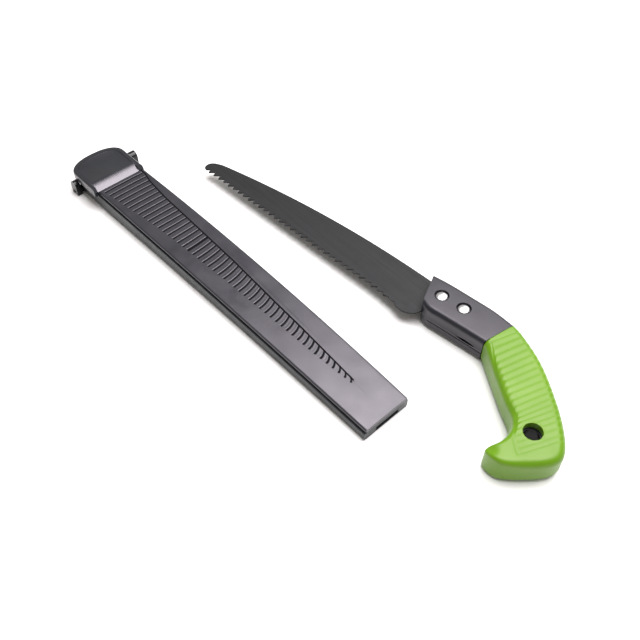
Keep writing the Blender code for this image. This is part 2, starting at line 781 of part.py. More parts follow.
def bolt_holes(name, at, parent):
    """A bore through the head, with a recess at each end."""
    x, y = at
    seat = HANDLE_TOP - BOLT_RECESS_DEPTH
    return (
        rod(f"core_bore_{name}", NUT_BARREL + GAP, (x, y, -OVERRUN), (x, y, HANDLE_TOP), parent),
        rod(f"top_recess_{name}", BOLT_RECESS_RADIUS, (x, y, seat), (x, y, HANDLE_TOP + OVERRUN), parent),
        rod(f"low_recess_{name}", BOLT_RECESS_RADIUS, (x, y, -OVERRUN), (x, y, BOLT_RECESS_DEPTH), parent),
    )


def make_core(parent):
    outline = head_outline()
    rims = [HEAD_RIM] * len(outline)
    core = rounded_slab("handle_core", outline, 0.0, HANDLE_TOP, rims, parent, CORE_PLASTIC)
    high = HANDLE_TOP + OVERRUN
    cut(
        core,
        slab("head_front_cut", beyond(HEAD_FRONT, -BROAD), -OVERRUN, high, parent),
        slab("head_rear_cut", beyond(HEAD_REAR, BROAD), -OVERRUN, high, parent),
    )
    mid = HANDLE_TOP / 2.0
    tongue = slab("core_tongue", tongue_outline(), mid - CORE_TONGUE_HALF, mid + CORE_TONGUE_HALF, parent)
    join(core, tongue)
    slot_half = BLADE_THICKNESS / 2.0 + GAP
    slot = box(
        "tang_slot", (-0.004, TANG_BOTTOM - GAP, BLADE_MID - slot_half),
        (TANG_END + GAP, TANG_TOP + GAP, BLADE_MID + slot_half), parent,
    )
    front, rear = (WINDOW_FRONT, mid), (WINDOW_REAR, mid)
    leaf = arc(front, rear, WINDOW_RISE, 7) + arc(rear, front, WINDOW_RISE, 7)[1:-1]
    window = side_plate("slot_window", leaf, -0.0450, TANG_BOTTOM + GAP, parent)
    cut(core, slot, window)
    for name, at in BOLTS.items():
        cut(core, *bolt_holes(name, at, parent))
    x, y = HANG_HOLE
    cut(core, rod("core_hang_hole", CORE_HOLE_RADIUS, (x, y, 0.0), (x, y, HANDLE_TOP), parent))


def grip_grooves(parent):
    """Slanted cross grooves on both faces, from a smooth front strip to the back."""
    fronts = arc(*RIB_FRONTS, RIB_FRONT_RISE, GRIP_RIB_COUNT)
    backs = arc(*RIB_BACKS, RIB_BACK_RISE, GRIP_RIB_COUNT)
    bm = bmesh.new()
    for front, back in zip(fronts, backs):
        front, back = Vector(front), Vector(back)
        across = back - front
        turn = Matrix.Rotation(math.atan2(across.y, across.x), 4, "Z")
        point = (front + back) / 2.0
        for height in (0.0, GRIP_TOP):
            place = Matrix.Translation((point.x, point.y, height)) @ turn
            size = (across.length, GRIP_RIB_GROOVE, 2.0 * GRIP_RIB_DEPTH, 1.0)
            bmesh.ops.create_cube(bm, size=1.0, matrix=place @ Matrix.Diagonal(size))
    return keep_mesh("grip_grooves", bm, parent)


def make_grip(parent):
    outline = butt_joint(grip_outline())
    rims = [GRIP_RIM * hook_share(point) for point in outline]
    grip = rounded_slab("handle_grip", outline, 0.0, GRIP_TOP, rims, parent, GREEN_RUBBER)
    mid, room = HANDLE_TOP / 2.0, CORE_TONGUE_HALF + GAP
    tongue = tongue_outline()
    tongue_room = slab("tongue_room", grown(tongue, [GAP] * len(tongue)), mid - room, mid + room, parent)
    joint = beyond(shifted(HEAD_REAR, GAP), -BROAD)
    head_room = slab("head_room", joint, -OVERRUN, GRIP_TOP + OVERRUN, parent)
    x, y = HANG_HOLE
    hole = rod("grip_hang_hole", HANG_RADIUS, (x, y, -OVERRUN), (x, y, GRIP_TOP + OVERRUN), parent)
    cut(grip, tongue_room, head_room, hole, grip_grooves(parent))


def bolt_profile(head_low, shank_low):
    dome = [(radius, head_low + height) for radius, height in BOLT_DOME]
    under = [(BOLT_HEAD_RADIUS, head_low), (BOLT_SHANK, head_low), (BOLT_SHANK, shank_low)]
    return [*dome, *under, (0.0, shank_low)]


def washer_profile(low, high):
    inner, outer = BOLT_SHANK + GAP, BOLT_HEAD_RADIUS
    return [(inner, high), (outer, high), (outer, low), (inner, low), (inner, high)]


def nut_profile(low, flange_top, barrel_top):
    inner, floor = BOLT_SHANK + GAP, low + NUT_WALL
    draw_in, rise = NUT_CHAMFER
    barrel = [(0.0, floor), (inner, floor), (inner, barrel_top), (NUT_BARREL, barrel_top)]
    flange = [(NUT_BARREL, flange_top), (BOLT_HEAD_RADIUS, flange_top), (BOLT_HEAD_RADIUS, low + rise)]
    return [*barrel, *flange, (BOLT_HEAD_RADIUS - draw_in, low), (0.0, low)]


def make_fasteners(parent):
    seat = HANDLE_TOP - BOLT_RECESS_DEPTH
    washer_top = seat + GAP + WASHER_THICKNESS
    bolt = bolt_profile(washer_top + GAP, NUT_LOW + NUT_WALL + GAP)
    washer = washer_profile(seat + GAP, washer_top)
    nut = nut_profile(NUT_LOW, BOLT_RECESS_DEPTH - GAP, seat - NUT_SHORT)
    for name, at in BOLTS.items():
        turned(f"blade_bolt_{name}", bolt, at, parent, BRIGHT_STEEL)
        turned(f"bolt_washer_{name}", washer, at, parent, BRIGHT_STEEL)
        turned(f"sleeve_nut_{name}", nut, at, parent, BRIGHT_STEEL)


def make_saw():
    saw = frame("saw_frame", SAW_AT, SAW_TURN)
    make_blade(saw)
    make_core(saw)
    make_grip(saw)
    make_fasteners(saw)


clear_scene()
PARTS = collection(COLLECTION)
CUTTERS = collection("cutters")
make_sheath()
make_saw()
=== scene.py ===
"""Looks for a fixed-blade pruning saw lying beside its ribbed belt sheath."""

import math

import bmesh
import bpy
import numpy as np
from mathutils import Matrix, Vector


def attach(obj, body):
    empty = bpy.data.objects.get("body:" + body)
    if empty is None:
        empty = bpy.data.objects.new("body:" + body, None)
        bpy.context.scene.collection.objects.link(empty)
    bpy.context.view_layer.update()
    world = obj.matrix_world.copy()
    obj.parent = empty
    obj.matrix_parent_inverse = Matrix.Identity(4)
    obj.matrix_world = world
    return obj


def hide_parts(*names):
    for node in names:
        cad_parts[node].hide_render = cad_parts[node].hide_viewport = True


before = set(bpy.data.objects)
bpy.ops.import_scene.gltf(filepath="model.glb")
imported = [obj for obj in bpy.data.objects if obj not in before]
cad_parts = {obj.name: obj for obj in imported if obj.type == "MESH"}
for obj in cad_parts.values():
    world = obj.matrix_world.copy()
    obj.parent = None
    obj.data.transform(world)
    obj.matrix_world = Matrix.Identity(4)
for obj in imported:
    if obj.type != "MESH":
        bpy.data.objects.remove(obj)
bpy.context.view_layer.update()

SHEATH = Vector((-0.2603, -0.0488, 0.0))  # the mouth's end of the sheath's axis
SAW = Vector((0.0752, 0.0773, 0.0))  # where the blade's back enters the head
SAW_TURN = math.radians(9.27)
PLACES = {
    "saw": Matrix.Translation(SAW) @ Matrix.Rotation(SAW_TURN, 4, "Z"),
    "sheath": Matrix.Translation(SHEATH),
}
GAP = 0.0003


# ---------------------------------------------------------------- meshes

def smoothstep(t):
    t = np.clip(t, 0.0, 1.0)
    return t * t * (3.0 - 2.0 * t)


def interp(points, x):
    """Straight-line interpolation through (x, value) points."""
    xs, values = zip(*points)
    return np.interp(x, xs, values)


def new_mesh(name, verts, faces):
    mesh = bpy.data.meshes.new(name)
    mesh.from_pydata([tuple(v) for v in verts], [], [tuple(f) for f in faces])
    return mesh


def linked(name, data):
    """A new object in the scene."""
    obj = bpy.data.objects.new(name, data)
    bpy.context.scene.collection.objects.link(obj)
    return obj


def outward(mesh):
    """Turns all faces of a closed mesh outwards."""
    bm = bmesh.new()
    bm.from_mesh(mesh)
    bmesh.ops.recalc_face_normals(bm, faces=bm.faces)
    if bm.calc_volume(signed=True) < 0.0:
        bmesh.ops.reverse_faces(bm, faces=bm.faces)
    bm.to_mesh(mesh)
    bm.free()


def finish_piece(name, mesh, body, nodes, material, angle):
    """Puts a piece in its body's place; edges sharper than the angle stay sharp."""
    mesh.transform(PLACES[body])
    outward(mesh)
    mesh.shade_smooth()
    mesh.set_sharp_from_angle(angle=math.radians(angle))
    obj = linked(name, mesh)
    mesh.materials.append(material)
    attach(obj, body)
    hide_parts(*nodes)


def scratch(name, verts, faces):
    """A mesh object used while building, and removed afterwards."""
    mesh = new_mesh(name, verts, faces)
    outward(mesh)
    return linked(name, mesh)


def rings_mesh(rings):
    """Vertices and faces of a loft through closed rings, capped at both ends."""
    count = len(rings[0])
    verts = [p for ring in rings for p in ring]
    faces = []
    for r in range(len(rings) - 1):
        for i in range(count):
            j = (i + 1) % count
            faces.append((r * count + i, r * count + j, (r + 1) * count + j, (r + 1) * count + i))
    faces.append(tuple(range(count)))
    faces.append(tuple((len(rings) - 1) * count + i for i in reversed(range(count))))
    return verts, faces


def prism(name, outline, z0, z1):
    """An outline in x and y, extruded along z."""
    return scratch(name, *rings_mesh([[(x, y, z) for x, y in outline] for z in (z0, z1)]))


def side_prism(name, outline, y0, y1):
    """An outline in x and z, extruded along y."""
    return scratch(name, *rings_mesh([[(x, y, z) for x, z in outline] for y in (y0, y1)]))


def block(name, low, high):
    (x0, y0, z0), (x1, y1, z1) = low, high
    return prism(name, [(x0, y0), (x1, y0), (x1, y1), (x0, y1)], z0, z1)


def circle(x, y, z, radius, count):
    turns = [2.0 * math.pi * i / count for i in range(count)]
    return [(x + radius * math.cos(a), y + radius * math.sin(a), z) for a in turns]


def drum(name, at, radius, z0, z1, count=64, top=None):
    """A round cutter; top is its upper radius where it flares."""
    x, y = at
    levels = ((radius, z0), (radius if top is None else top, z1))
    return scratch(name, *rings_mesh([circle(x, y, z, r, count) for r, z in levels]))


def carve(obj, cutters, operation="DIFFERENCE"):
    for cutter in cutters:
        modifier = obj.modifiers.new(cutter.name, "BOOLEAN")
        modifier.operation = operation
        modifier.object = cutter
        modifier.solver = "EXACT"


def settle(obj, *others):
    """The object's mesh with its modifiers applied; the object and its cutters go."""
    graph = bpy.context.evaluated_depsgraph_get()
    mesh = bpy.data.meshes.new_from_object(obj.evaluated_get(graph))
    for gone in (obj, *others):
        bpy.data.objects.remove(gone, do_unlink=True)
    return mesh


def carved(body, cutters, operation="DIFFERENCE"):
    """The body's mesh after one round of Booleans."""
    carve(body, cutters, operation)
    return settle(body, *cutters)


# ---------------------------------------------------------------- outlines

def arc(start, end, rise, count):
    """Points of a circular arc over a chord; a positive rise bulges to the left of its direction."""
    start, end = Vector(start), Vector(end)
    chord = end - start
    radius = (chord.length ** 2 / 4.0 + rise ** 2) / (2.0 * rise)
    left = Vector((-chord.y, chord.x)).normalized()
    centre = (start + end) / 2.0 + left * (rise - radius)
    half = math.asin(chord.length / 2.0 / abs(radius))
    first = (start - centre).angle_signed(Vector((1.0, 0.0)))
    sweep = -2.0 * half if rise > 0.0 else 2.0 * half
    angles = [first + sweep * i / (count - 1) for i in range(count)]
    return [tuple(centre + Vector((math.cos(a), math.sin(a))) * abs(radius)) for a in angles]


def smooth_open(points, steps):
    """Catmull-Rom curve through points, open, with straight ends."""
    points = [Vector(p) for p in points]
    points = [2.0 * points[0] - points[1], *points, 2.0 * points[-1] - points[-2]]
    curve = []
    for i in range(1, len(points) - 2):
        p0, p1, p2, p3 = points[i - 1:i + 3]
        for step in range(steps):
            t = step / steps
            curve.append(tuple(
                p1 + (p2 - p0) * (t / 2.0) + (2.0 * p0 - 5.0 * p1 + 4.0 * p2 - p3) * (t * t / 2.0)
                + (3.0 * (p1 - p2) + p3 - p0) * (t ** 3 / 2.0)
            ))
    return [*curve, tuple(points[-2])]


SHARPEST_MITRE = 0.35


def normals_of(outline):
    """Outward offsets that keep the edges of a clockwise outline parallel."""
    p = np.array(outline, float)
    run = np.roll(p, -1, 0) - p
    run /= np.linalg.norm(run, axis=1)[:, None]
    after = np.stack([-run[:, 1], run[:, 0]], 1)
    before = np.roll(after, 1, 0)
    return (before + after) / np.maximum(SHARPEST_MITRE, 1.0 + (before * after).sum(1))[:, None]


def pillow_rings(outline, high, rims, steps, side=()):
    """Rings of a flat piece with rounded rims; side gives (share of height, outset) of its wall."""
    p, n = np.array(outline, float), normals_of(outline)
    rims = np.broadcast_to(np.asarray(rims, float), (len(p),))
    quarter = [math.pi / 2.0 * i / steps for i in range(steps + 1)]

    def rim_ring(a, z):
        return np.column_stack([p - n * (rims * (1.0 - math.sin(a)))[:, None], z])

    rings = [rim_ring(a, rims * (1.0 - math.cos(a))) for a in quarter]
    rings += [np.column_stack([p + n * out, rims + (high - 2.0 * rims) * share]) for share, out in side]
    rings += [rim_ring(a, high - rims * (1.0 - math.cos(a))) for a in reversed(quarter)]
    return [[tuple(v) for v in ring] for ring in rings]


def beyond(line, step):
    """A box on one side of a line in x and y, on its high-x side for a positive step."""
    start, end = Vector(line[0]), Vector(line[1])
    run = (end - start).normalized()
    start, end = start - run * abs(step), end + run * abs(step)
    return [tuple(start), tuple(end), (end.x + step, end.y), (start.x + step, start.y)]


# ---------------------------------------------------------------- materials

def nodes_of(name):
    material = bpy.data.materials.new(name)
    material.use_nodes = True
    tree = material.node_tree
    return material, tree, tree.nodes["Principled BSDF"]


def noise(tree, scale, detail, stretch=None, turn=0.0):
    """Noise in object coordinates, in cycles per metre, stretched along a turned axis if asked."""
    vector = tree.nodes.new("ShaderNodeTexCoord").outputs["Object"]
    if stretch:
        mapping = tree.nodes.new("ShaderNodeMapping")
        mapping.inputs["Scale"].default_value = stretch
        mapping.inputs["Rotation"].default_value = (0.0, 0.0, turn)
        tree.links.new(vector, mapping.inputs["Vector"])
        vector = mapping.outputs["Vector"]
    found = tree.nodes.new("ShaderNodeTexNoise")
    found.inputs["Scale"].default_value = scale
    found.inputs["Detail"].default_value = detail
    tree.links.new(vector, found.inputs["Vector"])
    return found.outputs["Fac"]


def ramp(tree, source, stops):
    found = tree.nodes.new("ShaderNodeValToRGB")
    band = found.color_ramp
    band.elements[0].position, band.elements[0].color = stops[0][0], (*stops[0][1], 1.0)
    band.elements[1].position, band.elements[1].color = stops[-1][0], (*stops[-1][1], 1.0)
    for position, colour in stops[1:-1]:
        band.elements.new(position).color = (*colour, 1.0)
    tree.links.new(source, found.inputs["Fac"])
    return found.outputs["Color"]


def spread_to(tree, source, low, high):
    """The middle half of a noise's range, spread over low to high."""
    found = tree.nodes.new("ShaderNodeMapRange")
    found.inputs["From Min"].default_value = 0.25
    found.inputs["From Max"].default_value = 0.75
    found.inputs["To Min"].default_value = low
    found.inputs["To Max"].default_value = high
    tree.links.new(source, found.inputs["Value"])
    return found.outputs["Result"]


def bump(tree, shader, layers):
    """Bumps from (height source, depth in metres) layers."""
    last = None
    for source, depth in layers:
        found = tree.nodes.new("ShaderNodeBump")
        found.inputs["Strength"].default_value = 1.0
        found.inputs["Distance"].default_value = depth
        tree.links.new(source, found.inputs["Height"])
        if last:
            tree.links.new(last, found.inputs["Normal"])
        last = found.outputs["Normal"]
    tree.links.new(last, shader.inputs["Normal"])


GROOVE = "groove"  # the mesh attribute that says how deep in a groove a point is, from 0 to 1, and so how much painted shade it gets
# painted shade: the near-black colour mixed into the grooves
GROOVE_SHADE_COLOUR = (0.004, 0.004, 0.005, 1.0)
GROOVE_DULLING, GROOVE_SHEEN_LOSS = 0.6, 0.8


def groove_share(tree):
    share = tree.nodes.new("ShaderNodeAttribute")
    share.attribute_name = GROOVE
    return share.outputs["Fac"]


def shade_and_dull_grooves(tree, shader, colour, roughness, specular):
    """Links painted shade, a darker colour, into the grooves, with a rougher and less shiny finish there."""
    share = groove_share(tree)
    darker = tree.nodes.new("ShaderNodeMix")
    darker.data_type = "RGBA"
    tree.links.new(share, darker.inputs[0])
    tree.links.new(colour, darker.inputs[6])
    darker.inputs[7].default_value = GROOVE_SHADE_COLOUR
    duller = tree.nodes.new("ShaderNodeMath")
    duller.operation = "MULTIPLY_ADD"
    duller.inputs[1].default_value = GROOVE_DULLING
    tree.links.new(share, duller.inputs[0])
    tree.links.new(roughness, duller.inputs[2])
    sheen = tree.nodes.new("ShaderNodeMath")
    sheen.operation = "MULTIPLY_ADD"
    sheen.inputs[1].default_value = -GROOVE_SHEEN_LOSS * specular
    sheen.inputs[2].default_value = specular
    tree.links.new(share, sheen.inputs[0])
    tree.links.new(darker.outputs[2], shader.inputs["Base Color"])
    tree.links.new(duller.outputs["Value"], shader.inputs["Roughness"])
    tree.links.new(sheen.outputs["Value"], shader.inputs["Specular IOR Level"])


def plastic(name, dark, light, rough, grain, waves, specular, tint=(1.0, 1.0, 1.0), grooved=False):
    material, tree, shader = nodes_of(name)
    colour = ramp(tree, noise(tree, scale=38.0, detail=4.0), ((0.3, dark), (0.7, light)))
    roughness = spread_to(tree, noise(tree, scale=55.0, detail=5.0), *rough)
    if grooved:
        # painted shade in the grooves, with a rougher, less shiny finish
        shade_and_dull_grooves(tree, shader, colour, roughness, specular)
    else:
        tree.links.new(colour, shader.inputs["Base Color"])
        tree.links.new(roughness, shader.inputs["Roughness"])
        shader.inputs["Specular IOR Level"].default_value = specular
    shader.inputs["Specular Tint"].default_value = (*tint, 1.0)
    wavy, grainy = noise(tree, scale=40.0, detail=0.0), noise(tree, scale=2600.0, detail=1.0)
    bump(tree, shader, ((wavy, waves), (grainy, grain)))
    return material


def steel(name, dark, light, rough, metallic, specular, grain, turn=0.0):
    """Steel with streaks along its length, which lies at a turn from x."""
    material, tree, shader = nodes_of(name)
    streaks = noise(tree, scale=60.0, detail=5.0, stretch=(0.25, 9.0, 9.0), turn=turn)
    tree.links.new(ramp(tree, streaks, ((0.3, dark), (0.7, light))), shader.inputs["Base Color"])
    roughness = spread_to(tree, noise(tree, scale=90.0, detail=5.0), *rough)
    tree.links.new(roughness, shader.inputs["Roughness"])
    shader.inputs["Metallic"].default_value = metallic
    shader.inputs["Specular IOR Level"].default_value = specular
    bump(tree, shader, ((streaks, grain), (noise(tree, scale=2200.0, detail=2.0), grain)))
    return material


def rubber(name, dark, middle_tone, light, rough, specular, tint):
    material, tree, shader = nodes_of(name)
    stops = ((0.25, dark), (0.5, middle_tone), (0.75, light))
    colour = ramp(tree, noise(tree, scale=30.0, detail=4.0), stops)
    roughness = spread_to(tree, noise(tree, scale=70.0, detail=5.0), *rough)
    tree.links.new(colour, shader.inputs["Base Color"])
    tree.links.new(roughness, shader.inputs["Roughness"])
    shader.inputs["Specular IOR Level"].default_value = specular
    shader.inputs["Specular Tint"].default_value = (*tint, 1.0)
    wavy, grainy = noise(tree, scale=120.0, detail=2.0), noise(tree, scale=3200.0, detail=2.0)
    bump(tree, shader, ((wavy, 0.00006), (grainy, 0.00003)))
    return material


LILAC = (1.0, 0.92, 1.0)
SHELL = plastic(
    "sheath_plastic", dark=(0.010, 0.012, 0.016), light=(0.016, 0.018, 0.023), rough=(0.26, 0.40),
    grain=0.0, waves=0.00022, specular=0.85, tint=LILAC, grooved=True,
)
BACK = plastic(
    "sheath_back_plastic", dark=(0.007, 0.010, 0.012), light=(0.011, 0.015, 0.018), rough=(0.34, 0.48),
    grain=0.00002, waves=0.00010, specular=0.5,
)
COLLAR = plastic(
    "collar_plastic", dark=(0.006, 0.009, 0.012), light=(0.010, 0.014, 0.017), rough=(0.18, 0.29),
    grain=0.0, waves=0.00008, specular=1.0, tint=LILAC,
)
HANGER = plastic(
    "hanger_plastic", dark=(0.002, 0.003, 0.004), light=(0.004, 0.005, 0.006), rough=(0.14, 0.24),
    grain=0.00001, waves=0.00004, specular=0.4,
)
HEAD = plastic(
    "head_plastic", dark=(0.003, 0.005, 0.007), light=(0.007, 0.009, 0.012), rough=(0.32, 0.44),
    grain=0.0, waves=0.00008, specular=0.55, tint=LILAC,
)
BLADE = steel(
    "blade_steel", dark=(0.009, 0.0095, 0.0105), light=(0.015, 0.0155, 0.017), rough=(0.46, 0.60),
    metallic=0.08, specular=0.28, grain=0.00001, turn=SAW_TURN,
)
BRIGHT = steel(
    "bright_steel", dark=(0.66, 0.66, 0.68), light=(0.80, 0.80, 0.82), rough=(0.20, 0.32),
    metallic=1.0, specular=0.5, grain=0.000015,
)
GREEN = rubber(
    "grip_rubber", dark=(0.092, 0.214, 0.002), middle_tone=(0.101, 0.228, 0.003),
    light=(0.112, 0.242, 0.004), rough=(0.30, 0.42), specular=0.45, tint=(1.0, 0.90, 0.80),
)


# ---------------------------------------------------------------- sheath, in its own frame
# x runs from the mouth to the toe

LENGTH = 0.4050
SHOULDER = 0.050  # where the mouth piece ends and the front shell starts
MOUTH_HALF, TOE_HALF, BULGE, BOW = 0.0255, 0.0226, 0.0014, 0.0024
MOUTH_TOP, TOE_TOP = 0.0195, 0.0125
LID_DEPTH, LID_EDGE, LID_WALL, SHELL_WALL, TOE_WALL = 0.0042, 0.0020, 0.0024, 0.0028, 0.0034
EDGE_ANGLES = (0.0, 0.3, 0.6, 0.9, 1.2)
CROWN, CROWN_HALF = 0.0003, 0.0080
SEAM_DEPTH, SEAM_HEIGHT = 0.0012, 0.0018  # the shadow gap above the back shell

RIB_START, RIB_PITCH, RIB_COUNT = 0.0545, 0.00655, 48
DEEP_ROW = 17  # the one groove that is deeper than the rest
GROOVE_HALF, GROOVE_DEPTH = 0.00118, 0.00080
DEEP_HALF, DEEP_DEPTH = 0.00155, 0.0013
FADE_START, FADE_RUN, FADE_SHARE = 0.335, 0.03, 0.65  # the grooves grow shallower towards the toe
DOT_INSET, DOT_HALF, DOT_SHARE = 0.0008, 0.0007, 0.5  # a deeper spot at each groove's left end
RIB_CROWN = 0.00006
LINE_HALF, LINE_DEPTH, LINE_END = 0.0007, 0.0008, 0.3660  # the line along the ribs' right ends
RIDGE_HEIGHT, RIDGE_INSET, RIDGE_HALF = 0.00028, 0.0022, 0.0011  # the low ridge beside that line
RIDGE_FADE, RIDGE_FADE_RUN = 0.28, 0.06
SHARE_GAIN = 5.0  # brings a groove's whole width to its painted shade and dull finish
SWEEP, SWEEP_START, SWEEP_RUN, SWEEP_END, SWEEP_END_RUN = 0.0036, 0.11, 0.12, 0.372, 0.026
RIGHT_ENDS = (
    (0.050, 0.0242), (0.058, 0.0218), (0.070, 0.0192), (0.096, 0.0168), (0.155, 0.0148), (0.205, 0.0130),
    (0.260, 0.0094), (0.301, 0.0072), (0.336, 0.0047), (0.366, 0.0025), (0.376, 0.0012),
)
LEFT_ENDS = (
    (0.050, -0.0228), (0.068, -0.0198), (0.093, -0.0163), (0.123, -0.0123), (0.168, -0.0091),
    (0.211, -0.0066), (0.283, -0.0041), (0.322, -0.0029), (0.366, -0.0004),
)
END_ZONE = 0.0010  # close columns on each side of a rib's end
STATIONS_PER_RIB = 12


def along(s):
    return np.clip((s - SHOULDER) / (LENGTH - SHOULDER), 0.0, 1.0)


def half_width(s):
    t = along(s)
    return MOUTH_HALF + (TOE_HALF - MOUTH_HALF) * t + BULGE * 4.0 * t * (1.0 - t)


def middle(s):
    t = along(s)
    return BOW * 4.0 * t * (1.0 - t)


def lid_top(s):
    return MOUTH_TOP + (TOE_TOP - MOUTH_TOP) * along(s)


def rib_sweep(s):
    """How far the ribs' ends on the right lie ahead of their ends on the left."""
    grown = smoothstep((s - SWEEP_START) / SWEEP_RUN)
    return SWEEP * grown * (1.0 - smoothstep((s - SWEEP_END) / SWEEP_END_RUN))


def columns(s, half, y0):
    """Places across the top: closely spaced at the ribs' ends and along the border line."""
    edge = half + y0
    right = min(float(interp(RIGHT_ENDS, s)), edge - 0.0014)
    left = float(interp(LEFT_ENDS, s))
    near = min(END_ZONE, (right - left) / 3.0)
    past_line = right + min(END_ZONE, 0.4 * (edge - right))
    past_ridge = past_line + 0.35 * (edge - past_line)
    stretches = (
        (left - 0.0007, 11), (left + near, 5), (right - near, 20), (past_line, 9), (past_ridge, 7), (edge, 9),
    )
    low = y0 - half
    found = [low]
    for high, count in stretches:
        found += [low + (high - low) * (k + 1) / count for k in range(count)]
        low = high
    return np.array(found), left, right


def rib_relief(s, y, left, right):
    """Height of the top's relief, and how deep in a groove each point is, from 0 to 1."""
    phase = (s - RIB_START) / RIB_PITCH
    row = round(phase)
    off = abs(phase - row) * RIB_PITCH
    ribbed = -0.5 <= phase < RIB_COUNT - 0.45
    half, depth = (DEEP_HALF, DEEP_DEPTH) if row == DEEP_ROW else (GROOVE_HALF, GROOVE_DEPTH)
    depth *= 1.0 - FADE_SHARE * float(smoothstep((s - FADE_START) / FADE_RUN))
    groove = max(0.0, 1.0 - (off / half) ** 2) ** 2 if ribbed and 0 <= row < RIB_COUNT else 0.0
    end = smoothstep((y - left + 0.0003) / 0.0009) * smoothstep((right - y + 0.0002) / 0.0006)
    dot = 1.0 + DOT_SHARE * np.exp(-((y - left - DOT_INSET) / DOT_HALF) ** 2)
    line = np.clip(1.0 - ((y - right) / LINE_HALF) ** 2, 0.0, 1.0) if s < LINE_END else np.zeros_like(y)
    cut = np.maximum(groove * depth * end * dot, LINE_DEPTH * line)
    inside = smoothstep((y - left) / 0.0015) * smoothstep((right - y) / 0.0015)
    crown = RIB_CROWN * (2.0 * off / RIB_PITCH) ** 2 if ribbed else 0.0
    ridge_left = float(1.0 - smoothstep((s - RIDGE_FADE) / RIDGE_FADE_RUN))
    ridge = RIDGE_HEIGHT * np.exp(-((y - right - RIDGE_INSET) / RIDGE_HALF) ** 2) * ridge_left
    share = np.clip(SHARE_GAIN * np.maximum(groove * end, line), 0.0, 1.0)
    return ridge - cut - crown * inside, share


def lid_section(s):
    """Closed ring of the front shell at a station, and its groove shares."""
    w, y0 = float(half_width(s)), float(middle(s))
    high = float(lid_top(s))
    low = high - LID_DEPTH + GAP
    foot = [
        (-(w - SEAM_DEPTH), low), (-(w - SEAM_DEPTH), low + SEAM_HEIGHT - 0.0003),
        (-(w - 0.7 * SEAM_DEPTH), low + SEAM_HEIGHT), (-w, low + SEAM_HEIGHT + SEAM_DEPTH / 3.0),
    ]
    edge = [
        (-(w - LID_EDGE * (1.0 - math.cos(a))), high - LID_EDGE * (1.0 - math.sin(a))) for a in EDGE_ANGLES
    ]
    side = foot + edge
    flat, left, right = columns(s, w - LID_EDGE, y0)
    from_edge = w - LID_EDGE - np.abs(flat - y0)
    crown = CROWN * np.clip(from_edge / (w - LID_EDGE - CROWN_HALF), 0.0, 1.0)
    relief, share = rib_relief(s, flat, left, right)
    flat_z = high + crown + relief * smoothstep(from_edge / 0.001)
    t = np.clip((right - flat) / (right - left), 0.0, 1.0)
    fade = smoothstep((flat - y0 + w) / (left - y0 + w))
    flat_x = s + rib_sweep(s) * (1.0 - (1.0 - t) ** 2) * fade
    inner_w = w - SHELL_WALL
    roof = high - LID_WALL if s < LENGTH - TOE_WALL - 0.0001 else low
    inner = [(inner_w, low), (inner_w, roof), (-inner_w, roof), (-inner_w, low)]
    ring = [(s, y0 + y, z) for y, z in side]
    ring += list(zip(flat_x.tolist(), flat.tolist(), flat_z.tolist()))
    ring += [(s, y0 - y, z) for y, z in reversed(side)] + [(s, y0 + y, z) for y, z in inner]
    shares = [0.0] * len(side) + share.tolist() + [0.0] * (len(side) + len(inner))
    return ring, shares


def lid_stations():
    """Places along the shell: 12 to each rib, and a few where it is plain."""
    start = SHOULDER + GAP
    step = RIB_PITCH / STATIONS_PER_RIB
    ribbed = [RIB_START + step * k for k in range(-7, STATIONS_PER_RIB * RIB_COUNT + 8)]
    ribbed = [s for s in ribbed if s > start + 0.0003]
    plain = np.linspace(ribbed[-1] + 0.003, LENGTH - TOE_WALL - 0.0002, 9).tolist()
    return [start, *ribbed, *plain, LENGTH - TOE_WALL, LENGTH]


def make_lid():
    sections = [lid_section(s) for s in lid_stations()]
    mesh = new_mesh("sheath_front", *rings_mesh([ring for ring, _ in sections]))
    # the groove shares set where painted shade darkens the grooves and the border line
    shares = mesh.attributes.new(GROOVE, "FLOAT", "POINT")
    shares.data.foreach_set("value", [v for _, found in sections for v in found])
    finish_piece("sheath_front", mesh, "sheath", ["sheath_front_shell"], SHELL, 50.0)


COLLAR_TOP, COLLAR_HALF, COLLAR_MID = 0.0238, 0.0277, -0.0021
COLLAR_RIM, COLLAR_RIM_ANGLES = 0.0022, (0.26, 0.52, 0.79, 1.05, 1.31, 1.571)
NOSE_START, NOSE_LENGTH, NOSE_POWER, NOSE_POINTS = 0.0170, 0.0168, 2.3, 49
THROAT_HALF, THROAT_TOP, THROAT_STEP, THROAT_LOW = 0.0227, 0.0208, 0.0388, 0.0168
RAMP_RUN, RAMP_LEFT, RAMP_RIGHT, BORDER_RUN = 0.0080, -0.0260, 0.0200, 0.0030
COLLAR_REACH = 0.0400  # past the mouth piece's sides
PANEL_LEVELS = (  # inset from the sides, inset from the ramp, height above the top
    (0.0058, 0.0038, -0.0008), (0.0055, 0.0035, -0.0007), (0.0050, 0.0030, 0.0002), (0.0050, 0.0030, 0.003),
)
RIVET_AT, RIVET_HOLE = (0.0140, 0.0), 0.0015


def collar_ring(inset, tail, z):
    """The mouth piece's outline at a height: a rounded nose and straight sides."""
    width = COLLAR_HALF - inset
    nose = []
    for i in range(NOSE_POINTS):
        across = -math.cos(math.pi * i / (NOSE_POINTS - 1))
        bulge = max(0.0, 1.0 - abs(across) ** NOSE_POWER) ** (1.0 / NOSE_POWER)
        nose.append((NOSE_START - (NOSE_LENGTH - inset) * bulge, COLLAR_MID + width * across, z))
    return [*nose, (tail, COLLAR_MID + width, z), (tail, COLLAR_MID - width, z)]


def ramp_profile(run):
    """What a ramp of this length cuts away, in x and z."""
    start, clear = SHOULDER - run, COLLAR_TOP + 0.003
    return [
        (start, COLLAR_TOP + GAP), (SHOULDER + 0.0003, MOUTH_TOP), (SHOULDER + 0.002, MOUTH_TOP),
        (SHOULDER + 0.002, clear), (start, clear),
    ]


